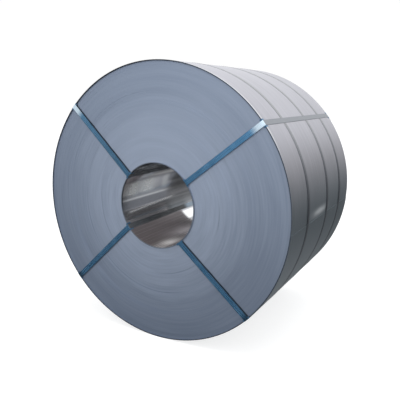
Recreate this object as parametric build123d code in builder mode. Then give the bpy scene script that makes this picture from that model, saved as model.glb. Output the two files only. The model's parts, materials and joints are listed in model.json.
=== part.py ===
"""A strapped coil of hot-rolled steel strip, lying on its barrel with its eye level.

The coil is one turned solid. Its ends are stepped where groups of turns slid a
little in or out as the strip was wound. The strip's outer end lies on the
barrel and its inner end lies in the bore, each with the thin wedge of a gap
that the next turn leaves beside it.

Three girth straps go round the barrel. Four eye straps go through the bore,
along both ends and over the girth straps, with a bent sheet guard under each
of their corners. They were pulled tight by hand, so they run a little askew
across the ends. Every strap is one closed loop, joined by a crimped seal.

Millimetres. The eye runs along Y, and the end with the clearer rings is at -Y.
Angles are seen from that end, anticlockwise from +X. The origin is on the
floor, below the middle of the coil.
"""
import os
from math import asin, cos, degrees, radians, sin

from build123d import *

# The strip, and the coil wound from it
bore_diameter = 508.0
outer_diameter = 1676.0
strip_width = 1200.0
strip_thickness = 2.0

# Groups of turns from the bore to the rim: the share of the build-up where each
# group ends, and how far its edges are set in from the end of the coil. The
# first and last groups lie flush, and the straps span what is set in between.
front_group_ends = [0.06, 0.285, 0.385, 0.485, 0.63, 0.70, 0.93, 1.0]
front_set_ins = [0.0, 6.4, 5.2, 7.0, 5.8, 7.6, 5.4, 0.0]
back_group_ends = [0.08, 0.33, 0.47, 0.66, 0.91, 1.0]
back_set_ins = [0.0, 5.6, 7.2, 5.8, 7.4, 0.0]

# The two ends of the strip, and the angle over which the gap beside each closes
outer_end_angle = -5.0
outer_end_run = 38.0
inner_end_angle = 195.0
inner_end_run = 15.0

# Straps, all of one steel band
band_width = 32.0
band_thickness = 0.8
front_girth_inset = 283.0
middle_girth_offset = 69.0
back_girth_inset = 227.0
eye_strap_bore_angles = [37.0, 139.0, 216.5, 308.5]
eye_strap_rim_angles = [37.0, 136.5, 221.0, 315.5]

# Guards under the corners of the eye straps
guard_thickness = 0.4
guard_ear = 9.0
guard_end_leg = 12.0
guard_bore_leg = 30.0
guard_rim_leg = 26.0

# Seals, folded over the lapped ends of a band and crimped at both edges
seal_length = 57.0
seal_sheet = 1.0
seal_clearance = 0.2
seal_bevel = 0.6
crimp_depth = 3.0
crimp_spacing = 20.0
crimps_along = 2
girth_seal_angles = [152.0, 160.0, 156.0]
eye_seal_insets = [228.0, 262.0, 205.0, 240.0]

# What follows from those sizes
bore_radius = bore_diameter / 2
outer_radius = outer_diameter / 2
build_up = outer_radius - bore_radius
half_width = strip_width / 2
axis_height = outer_radius + band_thickness
coil_axis = Axis((0, 0, axis_height), (0, 1, 0))
end_view = Plane(origin=(0, 0, axis_height), x_dir=(1, 0, 0), z_dir=(0, -1, 0))
girth_strap_places = [
    front_girth_inset - half_width,
    middle_girth_offset,
    half_width - back_girth_inset,
]
guard_width = band_width + 2 * guard_ear
seal_width = band_width + 2 * (seal_clearance + seal_sheet)
seal_height = band_thickness + seal_sheet

os.makedirs("parts", exist_ok=True)


def section(angle):
    """A plane through the coil's axis: its x is the radius, and its y runs along the eye."""
    out = (cos(radians(angle)), 0, sin(radians(angle)))
    across = (-sin(radians(angle)), 0, cos(radians(angle)))
    return Plane(origin=(0, 0, axis_height), x_dir=out, z_dir=across)


def at(radius, angle):
    """A point of the end view, by its radius and angle."""
    return (radius * cos(radians(angle)), radius * sin(radians(angle)))


def spread(width):
    """Twice the angle that a width takes up on the wall of the bore."""
    return 4 * degrees(asin(width / 2 / bore_radius))


# Coil
with BuildPart() as coil:
    corners = []
    for group_ends, set_ins, side in (
        (front_group_ends, front_set_ins, -1),
        (back_group_ends, back_set_ins, 1),
    ):
        steps = []
        inner_radius = bore_radius
        for share, set_in in zip(group_ends, set_ins):
            place = side * (half_width - set_in)
            steps.append((inner_radius, place))
            inner_radius = bore_radius + share * build_up
            steps.append((inner_radius, place))
        corners += steps[::-side]
    with BuildSketch(section(0)):
        with BuildLine():
            Polyline(*corners, close=True)
        make_face()
    revolve(axis=coil_axis)
    for radius, outwards, angle, run in (
        (outer_radius, 1, outer_end_angle, outer_end_run),
        (bore_radius, -1, inner_end_angle, -inner_end_run),
    ):
        step = outwards * strip_thickness
        with BuildSketch(end_view):
            with BuildLine():
                Line(at(radius + step, angle), at(radius - step, angle))
                ThreePointArc(
                    at(radius - step, angle),
                    at(radius - step / 4, angle + run / 2),
                    at(radius, angle + run),
                )
                Line(at(radius, angle + run), at(radius + step, angle + run))
                ThreePointArc(
                    at(radius + step, angle + run),
                    at(radius + step, angle + run / 2),
                    at(radius + step, angle),
                )
            make_face()
        extrude(amount=strip_width, both=True, mode=Mode.SUBTRACT)
coil.part.label = "coil"
export_step(coil.part, "parts/coil.step")

# Girth straps
for number, place in enumerate(girth_strap_places, 1):
    with BuildPart() as girth_strap:
        with BuildSketch(section(0)):
            with Locations((outer_radius + band_thickness / 2, place)):
                Rectangle(band_thickness, band_width)
        revolve(axis=coil_axis)
    girth_strap.part.label = f"girth_strap_{number}"
    export_step(girth_strap.part, f"parts/girth_strap_{number}.step")

# Eye straps: one leg on the barrel and one in the bore, joined by a leg on each end
guarded_bore = bore_radius - guard_thickness
guarded_rim = outer_radius + guard_thickness
guarded_end = half_width + guard_thickness
strapped_bore = guarded_bore - band_thickness
strapped_rim = outer_radius + band_thickness
strapped_end = guarded_end + band_thickness
barrel_run = [
    (guarded_rim, -strapped_end),
    (strapped_rim, girth_strap_places[0] - band_width / 2),
    (strapped_rim, girth_strap_places[-1] + band_width / 2),
    (guarded_rim, strapped_end),
]


def band_edges(radius, angle):
    """Both edges of a band where it crosses a circle, as points of the end view."""
    half_spread = degrees(asin(band_width / 2 / radius))
    return [at(radius, angle - half_spread), at(radius, angle + half_spread)]


for number, (bore_angle, rim_angle) in enumerate(zip(eye_strap_bore_angles, eye_strap_rim_angles), 1):
    with BuildPart() as eye_strap:
        with BuildSketch(section(rim_angle + spread(band_width) / 2)):
            with BuildLine():
                outer_run = [(radius + band_thickness, place) for radius, place in barrel_run]
                Polyline(*barrel_run, *outer_run[::-1], close=True)
            make_face()
        revolve(axis=coil_axis, revolution_arc=spread(band_width))
        with Locations(section(rim_angle)):
            Box(4 * outer_radius, 2 * strip_width, band_width, mode=Mode.INTERSECT)
        with BuildSketch(end_view):
            Circle(guarded_bore)
            Circle(strapped_bore, mode=Mode.SUBTRACT)
            with Locations(at(bore_radius, bore_angle)):
                Rectangle(bore_radius, band_width, rotation=bore_angle, mode=Mode.INTERSECT)
        extrude(amount=strapped_end, both=True)
        at_bore = band_edges(guarded_bore - band_thickness / 2, bore_angle)
        at_rim = band_edges(guarded_rim + band_thickness / 2, rim_angle)
        for side in (-1, 1):
            with BuildSketch(end_view.offset(side * guarded_end)):
                with BuildLine():
                    Polyline(*at_bore, *at_rim[::-1], close=True)
                make_face()
                Circle(strapped_bore, mode=Mode.SUBTRACT)
            extrude(amount=side * band_thickness)
    eye_strap.part.label = f"eye_strap_{number}"
    export_step(eye_strap.part, f"parts/eye_strap_{number}.step")

# Guards: one leg on the end of the coil, the other in the bore or on the barrel
for number, (bore_angle, rim_angle) in enumerate(zip(eye_strap_bore_angles, eye_strap_rim_angles), 1):
    for where, angle, radius, outwards, leg in (
        ("bore", bore_angle, bore_radius, 1, guard_bore_leg),
        ("rim", rim_angle, outer_radius, -1, guard_rim_leg),
    ):
        for end, side in (("front", -1), ("back", 1)):
            sheet = outwards * guard_thickness
            with BuildPart() as guard:
                with BuildSketch(section(angle + spread(guard_width) / 2)):
                    with BuildLine():
                        Polyline(
                            (radius, side * half_width),
                            (radius + outwards * guard_end_leg, side * half_width),
                            (radius + outwards * guard_end_leg, side * guarded_end),
                            (radius - sheet, side * guarded_end),
                            (radius - sheet, side * (half_width - leg)),
                            (radius, side * (half_width - leg)),
                            close=True,
                        )
                    make_face()
                revolve(axis=coil_axis, revolution_arc=spread(guard_width))
                with Locations(section(angle)):
                    Box(4 * outer_radius, 2 * strip_width, guard_width, mode=Mode.INTERSECT)
            name = f"{where}_guard_{end}_{number}"
            guard.part.label = name
            export_step(guard.part, f"parts/{name}.step")


# Seals
def seal_seats():
    """Each seal's name and seat: x runs along the band, and z stands out from its face."""
    seats = []
    for number, angle in enumerate(girth_seal_angles, 1):
        out = section(angle).x_dir
        centre = section(angle).from_local_coords((strapped_rim, girth_strap_places[number - 1], 0))
        seats.append((f"girth_seal_{number}", Plane(centre, x_dir=section(angle).z_dir, z_dir=out)))
    for number, inset in enumerate(eye_seal_insets, 1):
        bore_angle = eye_strap_bore_angles[number - 1]
        rim_angle = eye_strap_rim_angles[number - 1]
        at_bore = section(bore_angle).from_local_coords((bore_radius, strapped_end, 0))
        at_rim = section(rim_angle).from_local_coords((outer_radius, strapped_end, 0))
        inwards = (at_bore - at_rim).normalized()
        centre = at_rim + inwards * inset
        seats.append((f"eye_seal_{number}", Plane(centre, x_dir=-inwards, z_dir=(0, 1, 0))))
    return seats


for name, seat in seal_seats():
    with BuildPart(seat) as seal:
        Box(seal_length, seal_width, seal_height, align=(Align.CENTER, Align.CENTER, Align.MIN))
        chamfer(faces().sort_by(Axis(seat.origin, seat.z_dir))[-1].edges(), seal_bevel)
        with GridLocations(0, seal_width - seal_sheet, 1, 2):
            Box(
                seal_length,
                seal_sheet,
                band_thickness,
                align=(Align.CENTER, Align.CENTER, Align.MAX),
            )
        # Each crimp is a notch with sides at 45 degrees, so a square on its corner cuts it
        notch = crimp_depth * 2**0.5
        with GridLocations(crimp_spacing, seal_width, crimps_along, 2):
            Box(notch, notch, 4 * seal_height, rotation=(0, 0, 45), mode=Mode.SUBTRACT)
    seal.part.label = name
    export_step(seal.part, f"parts/{name}.step")
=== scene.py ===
# %% [markdown]
# # A strapped steel coil
#
# A steel mill winds strip into a coil, straps it round the barrel and through the eye, and
# stands it on the floor on its side. The solids of this part already have the right sizes, so
# this lesson dresses them: it gives the coil its hundreds of turns, and each metal its finish.

import json

import bpy
import numpy as np
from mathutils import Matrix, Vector


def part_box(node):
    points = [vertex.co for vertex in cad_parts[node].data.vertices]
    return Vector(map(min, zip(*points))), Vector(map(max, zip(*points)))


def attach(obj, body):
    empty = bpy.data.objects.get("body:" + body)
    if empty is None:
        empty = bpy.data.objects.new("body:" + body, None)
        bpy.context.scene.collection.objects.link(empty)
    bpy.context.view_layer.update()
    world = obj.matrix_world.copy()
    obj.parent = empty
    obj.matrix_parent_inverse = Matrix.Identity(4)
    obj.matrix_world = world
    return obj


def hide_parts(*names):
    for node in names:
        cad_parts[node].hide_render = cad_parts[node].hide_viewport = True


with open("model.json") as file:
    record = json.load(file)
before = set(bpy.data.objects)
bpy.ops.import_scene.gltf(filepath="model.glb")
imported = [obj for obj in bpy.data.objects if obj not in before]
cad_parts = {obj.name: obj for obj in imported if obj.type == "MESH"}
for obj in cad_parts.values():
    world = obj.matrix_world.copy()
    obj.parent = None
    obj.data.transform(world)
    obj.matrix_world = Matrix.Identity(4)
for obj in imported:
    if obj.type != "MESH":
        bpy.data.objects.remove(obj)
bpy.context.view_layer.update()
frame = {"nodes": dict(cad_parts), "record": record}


# %% [markdown]
# ## The sizes that everything shares
#
# The main sizes are read from the solids, so that the lesson follows them: the coil's corners
# give its radius and its width, and its eye gives the bore and the height of the axis. What is
# left between the coil and the floor is the thickness of a girth strap.

# %% Read the sizes from the frame
record = frame["record"]
eye = next(mount for mount in record["mounts"] if mount["name"] == "eye")
millimetres_in_metre = 1000
axis_height = eye["pos_m"][2]
bore_radius = eye["dims"]["r_mm"] / millimetres_in_metre


def node_points(name):
    """All corner points of a solid, as an array with one row for each."""
    return np.array([vertex.co for vertex in frame["nodes"][name].data.vertices])


def distance_from_axis(points):
    return np.hypot(points[:, 0], points[:, 2] - axis_height)


coil_corners = node_points("coil")
outer_radius = round(float(distance_from_axis(coil_corners).max()), 4)
half_width = round(float(np.abs(coil_corners[:, 1]).max()), 4)
girth_names = [f"girth_strap_{number}" for number in (1, 2, 3)]
eye_names = [f"eye_strap_{number}" for number in (1, 2, 3, 4)]
band_thickness = round(axis_height - outer_radius, 4)
band_width = round(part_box(girth_names[0])[1].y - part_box(girth_names[0])[0].y, 4)
guard_thickness = round(-half_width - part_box("bore_guard_front_1")[0].y, 4)
print("radii", bore_radius, outer_radius, "half width", half_width, "band", band_width)


def strap_angle(node, low, high):
    """The middle angle of an eye strap's corners that lie between two distances from the axis.

    The angles are taken from the mean direction, so that none of them jumps by a full turn.
    """
    corners = node_points(node)
    away = distance_from_axis(corners)
    corners = corners[(away > low) & (away < high)]
    around = corners[:, 0] + 1j * (corners[:, 2] - axis_height)
    mean = around.mean()
    offsets = np.angle(around / mean)
    return float(np.angle(mean) + (offsets.min() + offsets.max()) / 2)


strap_angles = [
    (
        strap_angle(node, 0.0, bore_radius - guard_thickness - band_thickness / 2),
        strap_angle(node, outer_radius + guard_thickness + band_thickness / 2, np.inf),
    )
    for node in eye_names
]
print("strap angles in the bore and on the rim", np.round(np.degrees(strap_angles), 1))

# %% [markdown]
# ## The camera
#
# The viewer stands to the right of the coil's end, a little lower than its top, and looks
# slightly down. The place, the turn and the lens were worked out from the outlines of the rim,
# the bore and the barrel.

# %% Set the camera
camera_place = Vector((1.621, -2.958, 1.468))
camera_yaw = np.radians(29.28)
camera_pitch = np.radians(-11.75)
camera_lens = 44.37
sensor_width = 36.0

camera_data = bpy.data.cameras.new("camera")
camera_data.lens = camera_lens
camera_data.sensor_width = sensor_width
camera = bpy.data.objects.new("camera", camera_data)
bpy.context.scene.collection.objects.link(camera)
camera.location = camera_place
camera.rotation_euler = (np.pi / 2 + camera_pitch, 0.0, camera_yaw)
bpy.context.scene.camera = camera
print("camera", tuple(camera_place), "lens", camera_lens)

# %% [markdown]
# ## Surfaces from arrays
#
# Everything here is a grid of points worked out by a formula: a profile carried round a circle
# for the coil, and a band's section carried along its route for the straps. One helper turns
# such a grid into a mesh, so that each piece is only its formula.

# %% Turn a grid of points into a mesh
sharp_angle = np.radians(50)
litres_in_cubic_metre = 1000


def grid_mesh(name, points, uv=None, materials=(), column_material=None):
    """A closed mesh over a grid of points that wraps in both directions.

    Vertex i * columns + j is row i, column j. Each face joins a vertex to the next row and the
    next column. The faces are turned outwards if the volume they enclose comes out negative,
    which is the sum of a . (b x c) / 6 over the triangles. uv has one row and one column more
    than points, so that a map doesn't jump back at the seams.
    """
    rows, columns = points.shape[:2]
    i, j = np.meshgrid(np.arange(rows), np.arange(columns), indexing="ij")
    corner_rows = np.stack([i, i + 1, i + 1, i], -1).reshape(-1, 4)
    corner_columns = np.stack([j, j, j + 1, j + 1], -1).reshape(-1, 4)
    quads = (corner_rows % rows) * columns + corner_columns % columns
    flat = points.reshape(-1, 3)
    a, b, c, d = (flat[quads[:, k]] for k in range(4))
    volume = (a * np.cross(b, c)).sum() / 6 + (a * np.cross(c, d)).sum() / 6
    turn = slice(None, None, 1 if volume > 0 else -1)
    mesh = bpy.data.meshes.new(name)
    mesh.from_pydata(flat.tolist(), [], quads[:, turn].tolist())
    mesh.polygons.foreach_set("use_smooth", np.ones(len(quads), bool))
    if uv is not None:
        corners = uv[corner_rows, corner_columns][:, turn].reshape(-1)
        layer = mesh.uv_layers.new(name="UVMap")
        layer.data.foreach_set("uv", corners.astype(np.float32))
    for material in materials:
        mesh.materials.append(material)
    if column_material is not None:
        mesh.polygons.foreach_set("material_index", np.tile(column_material, rows).astype(np.int32))
    mesh.set_sharp_from_angle(angle=sharp_angle)
    piece = bpy.data.objects.new(name, mesh)
    bpy.context.scene.collection.objects.link(piece)
    size = round(abs(volume) * litres_in_cubic_metre, 1)
    print(name, len(quads) * 2, "triangles,", size, "litres")
    return piece


print("edges stay sharp from", np.degrees(sharp_angle), "degrees")

# %% [markdown]
# ## Finishes as expressions
#
# A finish is a formula too: how bright the steel is at a radius, how rough it is along a band.
# Nodes could be placed and linked one by one, but a long formula is hard to read that way.
# Wrapping each socket in a small class lets it be written as Python instead, and each
# operation adds the node that works it out.

# %% Sockets that can be added and multiplied
class Wire:
    """A value in a finish. An expression on wires adds the Math nodes that work it out."""

    def __init__(self, finish, socket):
        self.finish = finish
        self.socket = socket

    def math(self, operation, *values):
        inputs = dict(enumerate((self, *values)))
        return self.finish.node("ShaderNodeMath", {"operation": operation}, inputs)

    def __add__(self, other):
        return self.math("ADD", other)

    def __mul__(self, other):
        return self.math("MULTIPLY", other)

    def __sub__(self, other):
        return self.math("SUBTRACT", other)

    def __rsub__(self, other):
        return self.finish.number(other).math("SUBTRACT", self)

    def __truediv__(self, other):
        return self.math("DIVIDE", other)

    __radd__ = __add__
    __rmul__ = __mul__

    def rise(self, low, high):
        """0 below low, 1 above high, and a smooth rise between them."""
        inputs = {"Value": self, "From Min": low, "From Max": high}
        return self.finish.node("ShaderNodeMapRange", {"interpolation_type": "SMOOTHSTEP"}, inputs)

    def hump(self, middle, width):
        """1 at the middle, falling smoothly to 0 at that width to either side."""
        return 1 - (self - middle).math("ABSOLUTE").rise(0.0, width)


print("wires can be added, subtracted, multiplied and divided")

# %% [markdown]
# A finish owns the node tree of one material. One method adds any node, sets it up and links its
# inputs, and the others give short names to the nodes that are used most.

# %% Finishes that add their own nodes
class Finish:
    """A node tree with the means to add nodes, and the coordinates that patterns are drawn on."""

    def __init__(self, tree):
        self.tree = tree
        self.tree.nodes.clear()

    def node(self, kind, settings=None, inputs=None, output=0):
        """Adds a node: its settings are set first, then its sockets get values or links."""
        node = self.tree.nodes.new(kind)
        for name, value in (settings or {}).items():
            setattr(node, name, value)
        for key, value in (inputs or {}).items():
            if isinstance(value, Wire):
                self.tree.links.new(value.socket, node.inputs[key])
            else:
                node.inputs[key].default_value = value
        return Wire(self, node.outputs[output]) if len(node.outputs) else node

    def number(self, value):
        return self.node("ShaderNodeMath", {"operation": "ADD"}, {0: value, 1: 0.0})

    def split(self, vector):
        """A vector's three parts."""
        parts = self.node("ShaderNodeSeparateXYZ", inputs={0: vector})
        return [Wire(self, socket) for socket in parts.socket.node.outputs]

    def place(self, output="Object"):
        return self.node("ShaderNodeTexCoord", output=output)

    def noise(self, scale, detail, vector=None, w=None, roughness=0.5):
        """Noise from 0 to 1, on a vector, or along a line where only w is given."""
        inputs = {"Scale": scale, "Detail": detail, "Roughness": roughness}
        inputs["Vector" if w is None else "W"] = vector if w is None else w
        settings = {"noise_dimensions": "3D" if w is None else "1D"}
        return self.node("ShaderNodeTexNoise", settings, inputs)

    def blend(self, factor, first, second):
        """A colour between two, by a factor."""
        inputs = {0: factor, 6: first, 7: second}
        return self.node("ShaderNodeMix", {"data_type": "RGBA"}, inputs, output=2)

    def paint(self, base, *coats):
        """A colour with coats over it. Each coat is how much of it lies there, and its colour."""
        for amount, coat in coats:
            base = self.blend(amount, base, coat)
        return base

    def bump(self, height, strength, distance):
        inputs = {"Height": height, "Strength": strength, "Distance": distance}
        return self.node("ShaderNodeBump", inputs=inputs)

    def shade(self, **inputs):
        """Ends a material in a Principled shader. Words with a space in them use an underscore."""
        named = {key.replace("_", " "): value for key, value in inputs.items()}
        shader = self.node("ShaderNodeBsdfPrincipled", inputs=named)
        self.node("ShaderNodeOutputMaterial", inputs={"Surface": shader})


def new_finish(name):
    """A material of that name, and its finish."""
    material = bpy.data.materials.new(name)
    material.use_nodes = True
    return material, Finish(material.node_tree)


def colour(red, green, blue):
    return (red, green, blue, 1.0)


print("a colour is written like this white:", colour(1, 1, 1))

# %% [markdown]
# ## Light and floor
#
# Bare steel is mostly a mirror, so its shading is what stands around it: a bright overcast sky,
# and a darker yard below the horizon. Each direction of the world is given by how far it points
# east, north and up. The step from yard to sky is drawn softer behind the coil, where the barrel
# mirrors it, than in front, where the straps do. The rest is smaller: paler ground close behind
# the coil, a glow above the horizon there, a sky in front that brightens to the east, and
# something dark that stands behind on the east side.

# %% Light the coil with a sky and a yard
sky_colour = colour(0.97, 0.985, 1.0)
sky_level = 1.08
yard_front = 0.2
yard_back = 0.11
turn_to_back = (-0.35, 0.35)
horizon_front = (-0.11, -0.02)
horizon_back = (-0.26, 0.34)
near_ground = (-0.50, -0.28)
near_ground_level = 0.15
glow_level = 0.26
glow_height = 0.32
glow_reach = 0.36
east_gain = 0.45
east_balance = 0.5
side_shade_east = (0.34, 0.5)
side_shade_top = (0.28, 0.36)
side_shade_amount = 0.6

world = bpy.data.worlds.new("yard")
world.use_nodes = True
bpy.context.scene.world = world
air = Finish(world.node_tree)
east, north, height = air.split(air.place("Generated"))
behind = north.rise(*turn_to_back)
yard = yard_front + (yard_back - yard_front) * behind
step_front = height.rise(*horizon_front)
step_back = height.rise(*horizon_back)
above = step_front + (step_back - step_front) * behind
level = yard + (sky_level - yard) * above
level = level + near_ground_level * behind * (1 - height.rise(*near_ground))
level = level + glow_level * behind * height.hump(glow_height, glow_reach)
level = level * (1 + east_gain * (east + east_balance) * (1 - behind))
side_shade = east.rise(*side_shade_east) * behind * (1 - height.rise(*side_shade_top))
level = level * (1 - side_shade_amount * side_shade)
background = air.node("ShaderNodeBackground", inputs={"Color": sky_colour, "Strength": level})
air.node("ShaderNodeOutputWorld", inputs={"Surface": background})
bpy.context.scene.view_settings.view_transform = "Standard"
print("sky", sky_level, "yard", yard_front, yard_back)

# %% [markdown]
# One wide lamp hangs over the coil, like the skylight of a hall. It lifts the top of the barrel a
# little, and its shadow has no hard edge.

# %% Hang a soft lamp
lamp_place = (0.4, -0.6, 4.6)
lamp_side = 4.0
lamp_watts = 90.0

lamp_data = bpy.data.lights.new("overhead", "AREA")
lamp_data.size = lamp_side
lamp_data.energy = lamp_watts
lamp = bpy.data.objects.new("overhead", lamp_data)
lamp.location = lamp_place
bpy.context.scene.collection.objects.link(lamp)
print("lamp", lamp_watts, "watts at", lamp_place)

# %% [markdown]
# The floor glows a little, like the top of a light table, so that the coil's shadow on it stays
# soft. A white dome far outside stands behind everything. Only the camera sees either, so that
# the steel keeps its dark yard.

# %% Lay the floor and raise the dome
floor_half = 30.0
floor_grey = 0.36
floor_glow = 0.74
dome_radius = 60.0
dome_grey = 0.0
dome_glow = 1.0
dome_rows = 12
dome_columns = 24


def stage_piece(name, corners, faces, grey, glow):
    """A matt sheet that only the camera sees, with its own grey and its own white glow."""
    material, finish = new_finish(name)
    finish.shade(
        Base_Color=colour(grey, grey, grey),
        Roughness=1.0,
        Emission_Color=colour(1, 1, 1),
        Emission_Strength=glow,
    )
    mesh = bpy.data.meshes.new(name)
    mesh.from_pydata(corners.reshape(-1, 3).tolist(), [], faces)
    mesh.materials.append(material)
    sheet = bpy.data.objects.new(name, mesh)
    sheet.visible_diffuse = False
    sheet.visible_glossy = False
    sheet.visible_shadow = False
    bpy.context.scene.collection.objects.link(sheet)


floor_corners = floor_half * np.array([[-1, -1, 0], [1, -1, 0], [1, 1, 0], [-1, 1, 0]])
stage_piece("floor", floor_corners, [(0, 1, 2, 3)], floor_grey, floor_glow)

tilt = np.linspace(-np.pi / 2, np.pi / 2, dome_rows)[:, None]
swing = np.linspace(0, 2 * np.pi, dome_columns, endpoint=False)
outwards = (np.cos(tilt) * np.cos(swing), np.cos(tilt) * np.sin(swing), np.sin(tilt))
dome_points = dome_radius * np.stack(np.broadcast_arrays(*outwards), -1)
here = np.arange(dome_rows * dome_columns).reshape(dome_rows, dome_columns)
beside = np.roll(here, -1, axis=1)
dome_faces = np.stack([here[:-1], here[1:], beside[1:], beside[:-1]], -1).reshape(-1, 4)
stage_piece("dome", dome_points, dome_faces.tolist(), dome_grey, dome_glow)
print("floor", 2 * floor_half, "metres across, dome", 2 * dome_radius)

# %% [markdown]
# ## The ends of the coil
#
# The edges of hundreds of turns show here as fine rings. A photo of rings could be laid over the
# end, but noise drawn along the radius is as fine as the laps are, at any distance. It bends a
# little on its way round, because no lap is a perfect circle.

# %% Draw noise along the rings
ring_waver = 0.012

end_steel, finish = new_finish("end_steel")
spot = finish.place()
x, y, z = finish.split(spot)
up = z - axis_height
radius = (x * x + up * up).math("SQRT")
waver = finish.noise(2.6, 3.0, vector=spot) - 0.5
wound = radius + waver * ring_waver


def ring_noise(around, across, detail):
    """Noise drawn out along the rings, by how fast it changes round them and across them.

    Its point is (cos a, sin a) times one scale, and the radius times the other, which has no
    seam where the angle a starts again.
    """
    inputs = {0: x / radius * around, 1: up / radius * around, 2: wound * across}
    point = finish.node("ShaderNodeCombineXYZ", inputs=inputs)
    return finish.noise(1.0, detail, vector=point)


print("the rings bend by up to", ring_waver / 2, "metres")

# %% [markdown]
# A painted shadow lies along one side of the straps, darker beside some than beside others. It
# is drawn by the distance from each strap's own line.

# %% Paint the shadow beside the straps
shadow_amounts = (0.0, 0.95, 0.4, 0.95)
shadow_offset = 0.0175
shadow_reach = 0.009
shadow_start = (-0.01, 0.0)


def painted_strap_shadow(finish, spot):
    """How much painted shadow lies on the right of each strap, from 0 to 1.

    A point's distance from a strap's line is its dot product with the line's normal, less the
    same for the strap's own start.
    """
    total = 0.0
    for (bore_angle, rim_angle), amount in zip(strap_angles, shadow_amounts):
        start = bore_radius * np.exp(1j * bore_angle)
        along = outer_radius * np.exp(1j * rim_angle) - start
        along /= abs(along)
        right = along * (-1j if along.imag > 0 else 1j)
        reaches = []
        for axis in (along, right):
            inputs = {0: spot, 1: (axis.real, 0.0, axis.imag)}
            settings = {"operation": "DOT_PRODUCT"}
            dot = finish.node("ShaderNodeVectorMath", settings, inputs, output=1)
            at_start = (start * axis.conjugate()).real + axis_height * axis.imag
            reaches.append(dot - float(at_start))
        ahead, beside = reaches
        total = ahead.rise(*shadow_start) * beside.hump(shadow_offset, shadow_reach) * amount + total
    return total


strap_shadow = painted_strap_shadow(finish, spot)
print("dirt beside the eye straps:", shadow_amounts)

# %% [markdown]
# The turns were slit together, so they are close in colour, but groups of turns took the light
# differently as they were wound. So the rings are drawn in three finenesses: groups and bundles
# as tone, and single laps as relief. The outer laps are darker, but less so on the side towards
# the light, which is painted light. The lower part and the lower right are painted in shade, and
# two thin seams run part of the way round. A dark line marks the edge of the rim and of the
# bore, and painted shade darkens the step just outside the bore.

# %% Draw the rings on the coil's ends
inner_dark = colour(0.375, 0.44, 0.56)
inner_light = colour(0.475, 0.545, 0.675)
outer_dark = colour(0.265, 0.32, 0.425)
outer_light = colour(0.36, 0.42, 0.53)
first_lap_pale = colour(0.52, 0.58, 0.69)
low_shade = colour(0.19, 0.24, 0.33)
seam_and_shade_dark = colour(0.10, 0.13, 0.19)
shadow_dark = colour(0.02, 0.035, 0.055)
edge_dark = colour(0.02, 0.024, 0.03)
# Rings: how fast their noise changes round the axis and across the radius, and its detail
group_rings = (0.8, 22.0, 1.0)
bundle_rings = (2.2, 95.0, 2.0)
lap_rings = (6.0, 480.0, 1.0)
worn_rings = (1.1, 3.0, 1.0)
group_share = 0.26
bundle_share = 0.52
cloud_share = 0.22
# Radii and distances between which a tone comes or goes
outer_laps_start = (0.34, 0.80)
first_laps_end = (bore_radius + 0.005, bore_radius + 0.045)
lit_reach = (0.3, 0.9)
shaded_reach = (0.1, 0.9)
lit_angle = np.radians(30.0)
shaded_angle = np.radians(-50.0)
inner_seam = (0.417, 0.006)
outer_seam = (0.538, 0.005)
edge_line = 0.006
edge_soft = 0.001
bore_step_width = 0.0015


def reach_towards(angle):
    """How far a point lies from the axis in one direction of the end."""
    return x * np.cos(angle) + up * np.sin(angle)


groups = ring_noise(*group_rings).rise(0.3, 0.7)
bundles = ring_noise(*bundle_rings).rise(0.28, 0.72)
laps = ring_noise(*lap_rings)
clouds = finish.noise(2.2, 3.0, vector=spot)
smooth = (up / radius).rise(0.2, 0.95)
calmed_bundles = bundles * (1 - 0.6 * smooth) + 0.3 * smooth
tone = groups * group_share + calmed_bundles * bundle_share + clouds * cloud_share

worn = ring_noise(*worn_rings).rise(0.35, 0.6) * (1 - smooth)
seams = (wound.hump(*inner_seam) + wound.hump(*outer_seam)) * worn
# Painted light and shade: lit eases the darkening of the outer laps, shaded and low darken the
# lower right and the bottom
lit = reach_towards(lit_angle).rise(*lit_reach)
shaded = reach_towards(shaded_angle).rise(*shaded_reach)
outer_laps = radius.rise(*outer_laps_start) * (1 - 0.4 * lit)
first_laps = 1 - radius.rise(*first_laps_end)
low = 1 - up.rise(-outer_radius, outer_radius)
rim_start = outer_radius - edge_line
rim = radius.rise(rim_start - edge_soft, rim_start + edge_soft) * (1 - 0.25 * x.rise(-0.3, 0.4))
bore_edge = 1 - radius.rise(bore_radius + edge_line / 2, bore_radius + edge_line)
# Painted shade on the step just outside the bore
bore_step_shade = radius.hump(bore_radius + edge_line, bore_step_width)

steel = finish.paint(
    finish.blend(tone, inner_dark, inner_light),
    (outer_laps, finish.blend(tone, outer_dark, outer_light)),
    (first_laps * 0.2, first_lap_pale),
    # painted shade low down
    (low * outer_laps * 0.3, low_shade),
    # painted shade to the lower right, in the same colour as the seams
    (shaded * 0.14 + seams * 0.3, seam_and_shade_dark),
    # painted shadow beside the eye straps
    (strap_shadow, shadow_dark),
    (rim + bore_step_shade * 0.5 + bore_edge * 0.7, edge_dark),
)
finish.shade(
    Base_Color=steel,
    Metallic=0.85,
    Roughness=0.48 + 0.08 * tone + 0.3 * rim,
    Normal=finish.bump(bundles * 0.7 + laps * 0.3, 0.3, 0.0005),
)
print("end_steel:", len(end_steel.node_tree.nodes), "nodes")

# %% [markdown]
# ## The barrel
#
# The outermost turn shows the strip's own face, rolled smooth, with faint streaks in the
# rolling direction. They run round the barrel, so the noise is stretched along its angle. Low
# down, the steel is painted darker and greener, as shade. The strip's end is a faint line of
# painted shade over its step, with a painted highlight just above it, and a painted highlight
# runs along the edge at the front rim over the top of the barrel.

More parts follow.
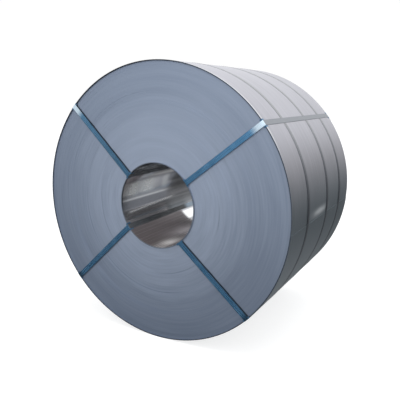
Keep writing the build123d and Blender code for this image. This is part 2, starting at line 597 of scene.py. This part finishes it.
# %% Draw the rolled face of the strip
face_dark = colour(0.355, 0.351, 0.385)
face_light = colour(0.443, 0.436, 0.476)
face_low_shade = colour(0.265, 0.34, 0.385)
strip_step_shade = colour(0.04, 0.045, 0.05)
painted_highlight = colour(0.85, 0.87, 0.88)
outer_end_angle = np.radians(-5.0)
outer_end_line = 0.004
tail_highlight_angle = np.radians(-2.5)
tail_highlight_angle_reach = 0.048
tail_highlight_place = -0.08
tail_highlight_place_reach = 0.26
rim_highlight_edge = (half_width - 0.014, half_width - 0.01)
rim_highlight_angle = (0.35, 0.6)

barrel_steel, finish = new_finish("barrel_steel")
spot = finish.place()
x, y, z = finish.split(spot)
angle = (z - axis_height).math("ARCTAN2", x)
stretched = finish.node("ShaderNodeCombineXYZ", inputs={0: angle * 0.8, 1: y * 14.0, 2: 0.0})
streaks = finish.noise(3.0, 4.0, vector=stretched, roughness=0.6)
clouds = finish.noise(1.6, 3.0, vector=spot)
tone = streaks * 0.6 + clouds * 0.4
# Painted shade low on the barrel
low = 1 - angle.rise(-0.1, 0.35)
# Painted shade over the lit step at the strip's end
strip_end_shade = angle.hump(outer_end_angle, outer_end_line)
# Painted highlights: along the front rim over the top, and near the strip's end
rim_highlight = (0 - y).rise(*rim_highlight_edge) * angle.rise(*rim_highlight_angle)
tail_highlight = angle.hump(tail_highlight_angle, tail_highlight_angle_reach) * y.hump(tail_highlight_place, tail_highlight_place_reach)
tail_highlight = tail_highlight * clouds.rise(0.15, 0.4)
steel = finish.paint(
    finish.blend(tone.rise(0.3, 0.7), face_dark, face_light),
    (low * 0.7, face_low_shade),
    (strip_end_shade * 0.45, strip_step_shade),
    (rim_highlight * 0.6, painted_highlight),
    (tail_highlight * 0.7, painted_highlight),
)
finish.shade(
    Base_Color=steel,
    Metallic=0.9,
    Roughness=0.34 + 0.1 * tone + 0.2 * tail_highlight,
    Normal=finish.bump(clouds * 0.8 + streaks * 0.2, 0.12, 0.004),
)
print("barrel_steel:", len(barrel_steel.node_tree.nodes), "nodes")

# %% [markdown]
# ## The bore
#
# The first turn was pulled tight round a polished mandrel, so its wall is streaked along the eye.
# Every mark on it is drawn by two measures: the depth from the front, in metres, and the angle
# round the wall, in degrees. A sector is the stretch of wall between two angles.

# %% Measure depth and angle in the bore
wave_height = 0.05
degrees_per_radian = np.degrees(1.0)

bore_steel, finish = new_finish("bore_steel")
spot = finish.place()
x, y, z = finish.split(spot)
depth = y + half_width
turned = ((axis_height - z).math("ARCTAN2", 0 - x) + np.pi) * degrees_per_radian
streaks = finish.noise(2.4, 3.0, w=turned * 0.25)
clouds = finish.noise(7.0, 3.0, vector=spot)
wavy_depth = depth + finish.noise(9.0, 2.0, vector=spot) * wave_height


def sector(low, high, soft):
    """1 between two angles in degrees, with soft sides."""
    return turned.rise(low - soft, low + soft) * (1 - turned.rise(high - soft, high + soft))


print("the bore is", 2 * half_width, "metres deep")

# %% [markdown]
# The marks come first. A patch on the left is a duller, rougher steel with a painted reflection
# in columns across the wall, and two thin painted glints run along the wall. Dust covers the
# bottom, up to a patch of painted light deep in the bore. Painted shade darkens the dust near the
# front and far in, and near the front it is painted pale again, as light that falls in at the
# mouth. A painted highlight marks the cut end of the strip as a line along the wall, which slants
# a little across the step that the solid has there. The mouth of the bore has a dark edge.

# %% Mark the wall of the bore
# Sectors: two angles in degrees, and how soft their sides are
reflected_patch_sector = (154.5, 175.0, 3.0)
dust_sector = (220.5, 318.0, 0.8)
far_light_sector = (223.0, 239.0, 1.5)
mouth_sector = (120.0, 190.0, 8.0)
# Painted light and glints along the wall: an angle in degrees, and how far they reach to either
# side
front_light_line = (274.0, 19.0)
lower_glint = (180.5, 2.2)
upper_glint = (149.0, 2.6)
cut_glint_line = (198.4, 2.5)
cut_slant = 8.5
# Columns of the painted reflection across the wall: a depth in metres, and how far they reach to
# either side
first_column = (0.13, 0.08)
second_column = (0.29, 0.09)
last_column = (0.50, 0.06)
# Depths in metres between which a mark comes or goes
reflected_patch_fade = (0.29, 0.42)
dust_fade = (0.58, 0.62)
front_light_start = (0.03, 0.13)
front_light_fade = (0.14, 0.34)
upper_glint_start = (0.05, 0.5)
cut_start = (0.02, 0.09)
cut_fade = (0.5, 0.64)
mouth_fade = (0.006, 0.014)

columns = wavy_depth.hump(*first_column) + wavy_depth.hump(*second_column) * 0.8
columns = (1 - depth.rise(*reflected_patch_fade)) * (0.5 + 0.5 * columns)
dull_and_reflected = sector(*reflected_patch_sector) * (columns + wavy_depth.hump(*last_column) * 0.45)
dust = sector(*dust_sector) * (1 - depth.rise(*dust_fade))
far_light_patch = sector(*far_light_sector) * depth.rise(*dust_fade)
front_light = turned.hump(*front_light_line) * (1 - depth.rise(*front_light_fade))
front_light = front_light * (0.35 + 0.65 * depth.rise(*front_light_start))
glint_below = turned.hump(*lower_glint) * 0.6
glint_above = turned.hump(*upper_glint) * depth.rise(*upper_glint_start) * 0.6
cut_end_glint = (turned + depth * cut_slant).hump(*cut_glint_line)
cut_end_glint = cut_end_glint * (1 - depth.rise(*cut_fade)) * depth.rise(*cut_start)
mouth = (1 - depth.rise(*mouth_fade)) * sector(*mouth_sector)
print("the cut end slants by", cut_slant, "degrees for each metre")

# %% [markdown]
# A polished wall also shows bright and dark stretches of what it mirrors. The sky and the yard
# of this scene are simpler than real surroundings, so the stretches are drawn on the wall
# itself, by the same angle and depth. They lie under the marks, and they stay where they are
# when the view turns.

# %% Draw the burnished wall of the bore
wall_dark = colour(0.36, 0.37, 0.39)
wall_light = colour(0.52, 0.52, 0.54)
mirrored_yard = colour(0.20, 0.21, 0.23)
mirrored_strap = colour(0.05, 0.055, 0.06)
mirrored_depth = colour(0.10, 0.11, 0.12)
mirrored_sky = colour(0.85, 0.85, 0.89)
mirrored_brown = colour(0.80, 0.77, 0.78)
dust_dark = colour(0.44, 0.39, 0.40)
dust_light = colour(0.54, 0.48, 0.49)
dust_shade = colour(0.13, 0.112, 0.114)
dust_lit_pale = colour(0.95, 0.91, 0.90)
reflected_white = colour(0.97, 0.99, 0.97)
highlight_white = colour(0.97, 0.97, 0.97)
mouth_dark = colour(0.04, 0.05, 0.065)

# Sectors and depths, as before
strap_sector = (126.5, 135.0, 1.5)
upper_brown_sector = (143.0, 152.0, 1.5)
yard_sector = (152.0, 167.0, 3.0)
sky_sector = (168.0, 192.0, 3.0)
front_shade_sector = (182.5, 193.5, 1.5)
deep_sector = (197.0, 214.0, 2.0)
deepest_sector = (207.0, 214.0, 1.5)
lower_brown_sector = (199.0, 213.0, 1.0)
brown_gap = (0.22, 0.16)
lower_brown_fade = (0.4, 0.5)
front_shade_fade = (0.4, 0.6)
deep_start = (0.4, 0.48)
deep_fade = (0.66, 0.76)
yard_start = (0.44, 0.56)
sky_start = (0.46, 0.6)
near_dust_fade = (0.0, 0.4)
far_dust_start = (0.42, 0.56)

strap_shade = sector(*strap_sector)
front_shade = sector(*front_shade_sector) * (1 - depth.rise(*front_shade_fade))
deep = depth.rise(*deep_start) * (1 - 0.3 * depth.rise(*deep_fade))
deep_shade = (sector(*deep_sector) * 0.55 + sector(*deepest_sector) * 0.4) * deep
sky_patch = sector(*sky_sector) * depth.rise(*sky_start)
yard_patch = sector(*yard_sector) * depth.rise(*yard_start)
upper_brown = sector(*upper_brown_sector) * (1 - depth.hump(*brown_gap))
lower_brown = sector(*lower_brown_sector) * (1 - depth.rise(*lower_brown_fade))
near_dust = 1 - depth.rise(*near_dust_fade)
far_dust = depth.rise(*far_dust_start)
dirty = finish.paint(
    finish.blend(clouds, dust_dark, dust_light),
    # painted shade on the dust near the front and far in
    (near_dust * 0.9 + far_dust * 0.6, dust_shade),
    # painted light on the dust near the front
    (front_light, dust_lit_pale),
)
steel = finish.paint(
    finish.blend(streaks, wall_dark, wall_light),
    (front_shade * 0.75, mirrored_yard),
    (strap_shade * 0.9, mirrored_strap),
    (deep_shade, mirrored_depth),
    (sky_patch, mirrored_sky),
    (yard_patch * 0.9, mirrored_yard),
    ((upper_brown + lower_brown) * 0.7, mirrored_brown),
    (dust, dirty),
    # painted reflection in columns, and painted glints
    (dull_and_reflected + (glint_below + glint_above), reflected_white),
    # painted highlight at the cut end, and painted light deep in the bore
    (cut_end_glint + far_light_patch, highlight_white),
    (mouth * 0.8, mouth_dark),
)
finish.shade(
    Base_Color=steel,
    Metallic=0.95 - 0.15 * dull_and_reflected - 0.6 * dust - 0.35 * dust * front_light - 0.15 * cut_end_glint,
    Roughness=0.11 + 0.07 * streaks + 0.15 * dull_and_reflected + 0.12 * dust + 0.2 * cut_end_glint,
    Normal=finish.bump(clouds * 0.7 + streaks * 0.3, 0.1, 0.0015),
)
print("bore_steel:", len(bore_steel.node_tree.nodes), "nodes")

# %% [markdown]
# ## The coil
#
# The solid has the stepped ends that the winding left, read here from its own corners. Real
# steps run over several laps, so the dressed coil spreads each of them over about fifteen, and
# keeps only the innermost and the outermost bundle flush. It also adds what is finer: every
# bundle of three laps sits in by its own fraction of a millimetre.

# %% Read the steps on the ends of the solid
strip_thickness = 0.002
bundle_width = 3 * strip_thickness
step_slope = 0.03
deepest_set_in = 0.02
ring_corners = 100


def solid_steps(side):
    """Where each group of turns ends on one end of the solid, and how far each is set in.

    A step is a circle of corners, so it is a radius and a place that many corners share. Two
    neighbouring steps bound a group where they share the same place.
    """
    at_end = coil_corners[:, 1] * side > half_width - deepest_set_in
    set_ins = half_width - coil_corners[:, 1] * side
    circles = np.round(np.stack([distance_from_axis(coil_corners), set_ins], 1)[at_end], 4)
    circles, counts = np.unique(circles, axis=0, return_counts=True)
    circles = np.abs(circles[counts > ring_corners])
    stops = np.unique(circles[:, 0])
    shared = [
        np.intersect1d(circles[circles[:, 0] == inner, 1], circles[circles[:, 0] == outer, 1])[0]
        for inner, outer in zip(stops[:-1], stops[1:])
    ]
    return stops, np.array(shared)


def sloped_set_in(radii, side):
    """The set-in at each radius: level in a group, and a straight slope across each step."""
    stops, levels = solid_steps(side)
    stops[1] = bore_radius + bundle_width
    stops[-2] = outer_radius - bundle_width
    slopes = np.full(len(levels) - 1, step_slope)
    slopes[[0, -1]] = bundle_width / 2
    knots = (stops[1:-1, None] + slopes[:, None] * [-0.5, 0.5]).reshape(-1)
    return np.interp(radii, knots, np.repeat(levels, 2)[1:-1])


for side in (-1, 1):
    stops, levels = solid_steps(side)
    print("end", side, "steps at", stops, "set in", levels)

# %% [markdown]
# The strip has two ends. The outer one lies on the barrel, and the lap below it drops away by
# one thickness and comes back over a short arc. The inner one does the same in the bore. Both
# angles are where the solid has its own steps. A pair of columns, very close together, makes
# each of them sharp.

# %% Find the two ends of the strip
outer_end_run = np.radians(38.0)
inner_end_angle = np.radians(195.0)
inner_end_run = np.radians(-15.0)
strip_ends = {
    "outer": (outer_end_angle, outer_end_run),
    "inner": (inner_end_angle, inner_end_run),
}
edge_turn = 2e-4
around_count = 220


def gap(angles, start, run):
    """How far a strip end's gap opens at each angle: its thickness times (1 - u) squared.

    u is the share of the run that lies behind, from 0 at the strip's end to 1.
    """
    u = np.mod((angles - start) * np.sign(run), 2 * np.pi) / abs(run)
    return np.where(u < 1, strip_thickness * (1 - u) ** 2, 0.0)


def columns_around():
    """Angles round the axis, evenly spread, with a pair of them at each end of the strip."""
    even = np.linspace(0, 2 * np.pi, around_count, endpoint=False)
    pairs = [
        start - share * edge_turn * np.sign(run)
        for start, run in strip_ends.values()
        for share in (0, 1)
    ]
    return np.unique(np.concatenate([even, np.mod(pairs, 2 * np.pi)]))[:, None]


turn = columns_around()
print("columns round the axis:", len(turn))

# %% [markdown]
# The profile of an end runs from the wall of the bore to the barrel: a rounded edge, two points
# for each bundle, and a rounded edge again. A solid with hundreds of grooves cut in it would be
# the other way, but a profile carried round the axis is only a grid of points, and it has more
# of them where the detail is.

# %% Shape both ends
rim_round = 0.0012
round_angles = np.radians([90.0, 60.0, 30.0])
straight_start = 0.004
bundle_set_in = 0.0006
random_seed = 12
random = np.random.default_rng(random_seed)


def rounded_edge(radius, inwards):
    """Radii and set-ins of the round between an end and the wall at that radius.

    The first point lies a little way down the wall, so that the wall's shading stays flat.
    """
    sine, cosine = np.sin(round_angles), np.cos(round_angles)
    radii = radius + inwards * rim_round * (1 - sine)
    set_ins = rim_round * (1 - cosine)
    return np.append(radius, radii), np.append(straight_start, set_ins)


def end_surface(side):
    """Radius and place of every point of one end: two profile points for each bundle.

    A bundle's set-in is the solid's, plus its own small amount that swells and shrinks once
    round the axis: amount * (1 + sin(angle + phase)) / 2.
    """
    count = round((outer_radius - bore_radius) / bundle_width)
    edges = np.linspace(bore_radius, outer_radius, count + 1)
    middles = (edges[:-1] + edges[1:]) / 2
    amount = random.uniform(0, bundle_set_in, count)
    phase = random.uniform(0, 2 * np.pi, count)
    amount[[0, -1]] = 0.0
    set_in = sloped_set_in(middles, side) + amount * (1 + np.sin(turn + phase)) / 2
    radii = np.stack([edges[:-1], edges[1:]], 1).reshape(-1)
    radii[[0, -1]] += [rim_round, -rim_round]
    bore_radii, bore_set_ins = rounded_edge(bore_radius, 1)
    rim_radii, rim_set_ins = rounded_edge(outer_radius, -1)
    radii = np.concatenate([bore_radii, radii, rim_radii[::-1]])
    set_in = np.repeat(set_in, 2, axis=1)
    at_bore = np.broadcast_to(bore_set_ins, (len(turn), len(bore_set_ins)))
    at_rim = np.broadcast_to(rim_set_ins[::-1], (len(turn), len(rim_set_ins)))
    set_in = np.concatenate([at_bore, set_in, at_rim], 1)
    return np.broadcast_to(radii, set_in.shape), side * (half_width - set_in)


front_radii, front_places = end_surface(-1)
back_radii, back_places = end_surface(1)
print("points along the profile of an end:", front_radii.shape[1])

# %% [markdown]
# The two ends are joined by the barrel and by the wall of the bore, which are straight, so they
# need no points of their own. Where a lap drops away at the strip's ends, every radius is kept
# clear of the gap: below it on the barrel, and above it in the bore. The profile's columns then
# say which of the three finishes they carry.

# %% Wind the coil
barrel_slot = 1
bore_slot = 2

radii = np.concatenate([front_radii, back_radii[:, ::-1]], 1)
places = np.concatenate([front_places, back_places[:, ::-1]], 1)
radii = np.minimum(radii, outer_radius - gap(turn, *strip_ends["outer"]))
radii = np.maximum(radii, bore_radius + gap(turn, *strip_ends["inner"]))
coil_points = np.stack([radii * np.cos(turn), places, axis_height + radii * np.sin(turn)], -1)

column_material = np.zeros(coil_points.shape[1], int)
rim_column = front_radii.shape[1] - 1
column_material[rim_column - 1 : rim_column + 2] = barrel_slot
column_material[[0, -2, -1]] = bore_slot
winding = grid_mesh(
    "coil_winding",
    coil_points,
    materials=(end_steel, barrel_steel, bore_steel),
    column_material=column_material,
)
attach(winding, "root")
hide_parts("coil")

# %% [markdown]
# ## The bands
#
# The straps are blued steel band, waxed so that it slides through the tensioner. On the ends of
# the coil it keeps its blue, with a painted glare on the upper straps near the rim and painted
# shade on the lower ones there. On the barrel it is grey, on the girth straps painted lighter
# high up, and its edges are dark, darker still on the barrel as painted shade. In the bore it is
# a matt grey, painted darker deeper in and painted light towards the far end. The finish is
# drawn on the band's own map, with u along it and v across it, both in metres, and on its place
# round the coil.

# %% Blue the bands
bend_length = 0.06
bend_tilt = 0.09
barrel_start = (outer_radius - 0.1, outer_radius - 0.09)
glare_start = (outer_radius - 1.6 * bend_length, outer_radius - 0.7 * bend_length)
band_edge = (band_width * 0.42, band_width * 0.49)
eye_light = colour(0.155, 0.36, 0.60)
eye_dark = colour(0.095, 0.26, 0.46)
eye_barrel_grey = colour(0.245, 0.257, 0.28)
girth_light = colour(0.23, 0.24, 0.26)
girth_dark = colour(0.18, 0.19, 0.21)
girth_barrel_shaded = colour(0.16, 0.17, 0.195)
girth_barrel_lit = colour(0.30, 0.305, 0.315)
upper_left = colour(0.10, 0.19, 0.27)
glare_blue = colour(0.76, 0.89, 0.99)
shaded_blue = colour(0.02, 0.035, 0.055)
edge_and_shade_blue = colour(0.02, 0.04, 0.07)
sheltered = colour(0.11, 0.12, 0.13)
sheltered_deep = colour(0.045, 0.05, 0.055)
far_end_light = colour(0.36, 0.46, 0.56)


def band_finish(name, light, dark, barrel_shaded, barrel_lit):
    """Blued band: clouded along its length, with dark edges, and grey on the barrel, with painted
    glare, light and shade.

    On the ends of the coil the band leans back over its last few centimetres before the rim.
    That is a bump whose height is -(d^2) * length * tilt / 2, with d from 0 to 1 along them.
    """
    material, finish = new_finish(name)
    along, across, _ = finish.split(finish.place("UV"))
    x, y, z = finish.split(finish.place())
    up = z - axis_height
    radius = (x * x + up * up).math("SQRT")
    depth = y.math("ABSOLUTE")
    clouds = finish.noise(9.0, 3.0, w=along)
    drawn = finish.node("ShaderNodeCombineXYZ", inputs={0: along * 1.5, 1: across * 60.0, 2: 0.0})
    scratches = finish.noise(6.0, 3.0, vector=drawn)
    upper = up.rise(0.0, 0.1)
    high = up.rise(0.1, 0.6)
    left = 1 - x.rise(-0.3, -0.1)
    on_barrel = radius.rise(*barrel_start) * (1 - depth.rise(half_width - 0.01, half_width))
    in_bore = 1 - radius.rise(bore_radius, bore_radius + 0.002)
    glare = radius.rise(*glare_start) * upper
    shaded = radius.rise(outer_radius - bend_length, outer_radius) * (1 - up.rise(-0.1, 0.0))
    edge = across.math("ABSOLUTE").rise(*band_edge)
    # In the bore: painted shade deeper in, and painted light towards the far end
    inside = finish.blend(y.rise(-0.17, -0.09), sheltered, sheltered_deep)
    blue = finish.paint(
        finish.blend(clouds.rise(0.3, 0.7) * 0.7 + scratches * 0.3, dark, light),
        (left * upper * 0.5, upper_left),
        # painted glare near the rim on the upper straps
        (glare * (0.7 + 0.3 * scratches), glare_blue),
        (shaded * 0.7, shaded_blue),
        # grey on the barrel, painted lighter high up
        (on_barrel, finish.blend(high, barrel_shaded, barrel_lit)),
        (in_bore, finish.blend(y.rise(0.05, 0.12), inside, far_end_light)),
        # dark edges, with painted shade along them on the barrel
        (edge * (0.5 + 0.4 * on_barrel - 0.4 * high * on_barrel), edge_and_shade_blue),
    )
    bend = ((radius - (outer_radius - bend_length)) / bend_length).math("MAXIMUM", 0.0)
    on_end = depth.rise(half_width - 0.001, half_width)
    lean = bend * bend * (-0.5 * bend_length * bend_tilt) * on_end
    relief = clouds * 0.0004 + scratches * 0.00012 + lean
    finish.shade(
        Base_Color=blue,
        Metallic=0.9 - 0.5 * in_bore,
        Roughness=0.2 + 0.14 * scratches + 0.15 * on_barrel,
        Normal=finish.bump(relief, 1.0, 1.0),
    )
    print(name + ":", len(material.node_tree.nodes), "nodes")
    return material


eye_blue = band_finish("eye_band_blue", eye_light, eye_dark, eye_barrel_grey, eye_barrel_grey)
girth_grey = band_finish(
    "girth_band_grey", girth_light, girth_dark, girth_barrel_shaded, girth_barrel_lit
)

# %% [markdown]
# ## A band's section, carried along a route
#
# Every strap is the same thin band with its edges rounded by the slitter. Only the route
# differs: a circle round the barrel, or a loop through the bore and over both ends. Blender can
# sweep a section along a curve, but a band has to lie flat and its map has to be in metres, so
# its points are placed by a formula.

# %% Draw the section of a band
edge_points = 5
flat_share = 0.96


def band_section():
    """The band's outline: distances across it and out from its middle, with rounded edges."""
    half = band_thickness / 2
    side = band_width / 2 - half
    bend = np.linspace(-np.pi / 2, np.pi / 2, edge_points)
    edge_across, edge_out = side + half * np.cos(bend), half * np.sin(bend)
    flat = side * np.array([-flat_share, 0.0, flat_share])
    face = np.full(len(flat), half)
    across = np.concatenate([edge_across, flat[::-1], -edge_across, flat])
    out = np.concatenate([edge_out, face, -edge_out, -face])
    return across, out


def route_frame(route):
    """Outward normals of a closed route in the plane, and the length along it at each point.

    The normal is the step from the point before to the point after, turned by a right angle.
    """
    step = np.roll(route, -1, 0) - np.roll(route, 1, 0)
    step /= np.linalg.norm(step, axis=1)[:, None]
    lengths = np.linalg.norm(np.roll(route, -1, 0) - route, axis=1)
    return np.stack([step[:, 1], -step[:, 0]], 1), np.concatenate([[0], np.cumsum(lengths)])


print("a band's section has", len(band_section()[0]), "points")

# %% [markdown]
# The girth straps are the simple case: their section is turned about the coil's axis. Each
# takes the place of its own solid.

# %% Lay the girth straps
girth_columns = 360


def girth_band(name, node):
    """A band round the barrel: its section's points turned about the coil's axis."""
    across, out = band_section()
    low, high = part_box(node)
    turn = np.linspace(0, 2 * np.pi, girth_columns, endpoint=False)[:, None]
    radius = outer_radius + band_thickness / 2 + out
    place = (low.y + high.y) / 2 + across
    parts = (radius * np.cos(turn), place, axis_height + radius * np.sin(turn))
    points = np.stack(np.broadcast_arrays(*parts), -1)
    along = np.linspace(0, 2 * np.pi * outer_radius, girth_columns + 1)
    uv = np.stack(np.broadcast_arrays(along[:, None], np.append(across, across[0])), -1)
    piece = grid_mesh(name, points, uv, (girth_grey,))
    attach(piece, "root")
    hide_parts(node)


for number, node in enumerate(girth_names, 1):
    girth_band(f"girth_band_{number}", node)

# %% [markdown]
# ## The eye straps
#
# Each is pulled tight from guard to guard, so its route is straight along the bore and over
# both ends. On the barrel it climbs from the rim guards onto the girth straps and runs level
# over them. Its corners are bent to a small radius.

# %% Round the corners of a route
corner_points = 6
nearly_straight = np.radians(85)


def rounded_loop(corners, radius, spacing):
    """A closed polyline with its corners rounded, and points along its straights.

    At a corner with the inner angle a, the arc starts radius / tan(a / 2) before it. Its
    centre is radius / sin(a / 2) along the bisector, and its points lie on that circle.
    """
    arcs = []
    for before, here, after in zip(np.roll(corners, 1, 0), corners, np.roll(corners, -1, 0)):
        back = (before - here) / np.linalg.norm(before - here)
        ahead = (after - here) / np.linalg.norm(after - here)
        half_angle = np.arccos(np.clip(back @ ahead, -1, 1)) / 2
        if half_angle > nearly_straight:
            arcs.append(here[None, :])
            continue
        reach = radius / np.tan(half_angle)
        bisector = (back + ahead) / np.linalg.norm(back + ahead)
        centre = here + bisector * radius / np.sin(half_angle)
        share = np.linspace(0, 1, corner_points)[:, None]
        spokes = here + back * reach * (1 - share) + ahead * reach * share - centre
        arcs.append(centre + radius * spokes / np.linalg.norm(spokes, axis=1)[:, None])
    route = []
    for arc, following in zip(arcs, arcs[1:] + arcs[:1]):
        run = following[0] - arc[-1]
        count = max(3, int(np.linalg.norm(run) / spacing))
        share = np.linspace(0, 1, count)[1:-1, None]
        route += [arc, arc[-1] + run * share]
    return np.concatenate(route)


print("a corner of a strap has", corner_points, "points")

# %% [markdown]
# A band that runs askew is a blend of two directions: the one it has in the bore and the one it
# has on the rim. Where it lies on the barrel or in the bore, it also cups itself to their round.
# Each loop follows the inner line below, from the same sizes that the guards and the girth
# straps have.

# %% Lay the eye straps
girth_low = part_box(girth_names[0])[0].y
girth_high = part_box(girth_names[-1])[1].y
strap_end = half_width + guard_thickness
strap_bore = bore_radius - guard_thickness
strap_rim = outer_radius + guard_thickness
strap_crossing = outer_radius + band_thickness
bend_radius = 0.0015
point_spacing = 0.02
between_radii = (bore_radius + outer_radius) / 2


def eye_band(name, node, bore_angle, rim_angle):
    """A band carried along a loop from the bore to the barrel, a little askew on the ends.

    With s the share of the way from the bore to the rim, the band's middle is
    (1 - s) * bore point + s * rim point, and its width runs along (1 - s) * bore tangent +
    s * rim tangent. A point at the distance w across the band sinks by r - sqrt(r^2 - w^2),
    so that the band cups to the round that it lies on.
    """
    inner_line = np.array([
        (strap_bore, -strap_end),
        (strap_bore, strap_end),
        (strap_rim, strap_end),
        (strap_crossing, girth_high),
        (strap_crossing, girth_low),
        (strap_rim, -strap_end),
    ])
    outwards = np.sign(inner_line - [between_radii, 0.0])
    middle_line = inner_line + (band_thickness / 2) * outwards
    route = rounded_loop(middle_line, bend_radius, point_spacing)
    normals, lengths = route_frame(route)
    across, out = band_section()
    radius = route[:, :1] + normals[:, :1] * out
    place = route[:, 1:] + normals[:, 1:] * out

    bore_middle, rim_middle = middle_line[0, 0], middle_line[2, 0]
    share = ((radius - bore_middle) / (rim_middle - bore_middle)).clip(0, 1)
    bore_out, rim_out = np.exp(1j * bore_angle), np.exp(1j * rim_angle)
    facing = (1 - share) * bore_out + share * rim_out
    middle = (1 - share) * bore_middle * bore_out + share * rim_middle * rim_out
    below_bore = (radius - bore_middle).clip(None, 0)
    above_rim = (radius - rim_middle).clip(0)
    middle += below_bore * bore_out + above_rim * rim_out
    sunk = np.sqrt(radius**2 - across**2) - radius
    spot = middle + (sunk + 1j * across) * facing
    points = np.stack([spot.real, place, axis_height + spot.imag], -1)
    uv = np.stack(np.broadcast_arrays(lengths[:, None], np.append(across, across[0])), -1)
    piece = grid_mesh(name, points, uv, (eye_blue,))
    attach(piece, "root")
    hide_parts(node)


for number, (node, angles) in enumerate(zip(eye_names, strap_angles), 1):
    eye_band(f"eye_band_{number}", node, *angles)

# %% [markdown]
# ## Guards and seals
#
# Small bent sheets keep the bands from cutting into the strip's edges. They are the bands' own
# blue, and darker, because they never rub. Each seal is a folded sleeve of bare galvanized
# steel, whose zinc has set in small bright and dull crystals. The solids already have the real
# shapes, so they only get their finish.

# %% Finish the guards and the seals
guard_dark = colour(0.05, 0.12, 0.22)
guard_light = colour(0.10, 0.22, 0.36)
zinc_dark = colour(0.42, 0.44, 0.46)
zinc_light = colour(0.60, 0.62, 0.64)
crystals_per_metre = 220.0

guard_blue, finish = new_finish("guard_blue")
spot = finish.place()
clouds = finish.noise(40.0, 3.0, vector=spot)
finish.shade(
    Base_Color=finish.blend(clouds.rise(0.3, 0.7), guard_dark, guard_light),
    Metallic=0.7,
    Roughness=0.35 + 0.15 * clouds,
    Normal=finish.bump(clouds, 0.2, 0.001),
)

seal_zinc, finish = new_finish("seal_zinc")
spot = finish.place()
inputs = {"Vector": spot, "Scale": crystals_per_metre}
crystals = finish.node("ShaderNodeTexVoronoi", inputs=inputs, output=1)
spangle = finish.node("ShaderNodeRGBToBW", inputs={"Color": crystals})
finish.shade(
    Base_Color=finish.blend(spangle, zinc_dark, zinc_light),
    Metallic=0.95,
    Roughness=0.3 + 0.15 * spangle,
    Normal=finish.bump(spangle, 0.15, 0.0005),
)

finished = {"guard": 0, "seal": 0}
for name, node in frame["nodes"].items():
    for kind, material in (("guard", guard_blue), ("seal", seal_zinc)):
        if kind in name:
            finished[kind] += 1
            for slot in node.material_slots:
                slot.material = material
print("finished:", finished)
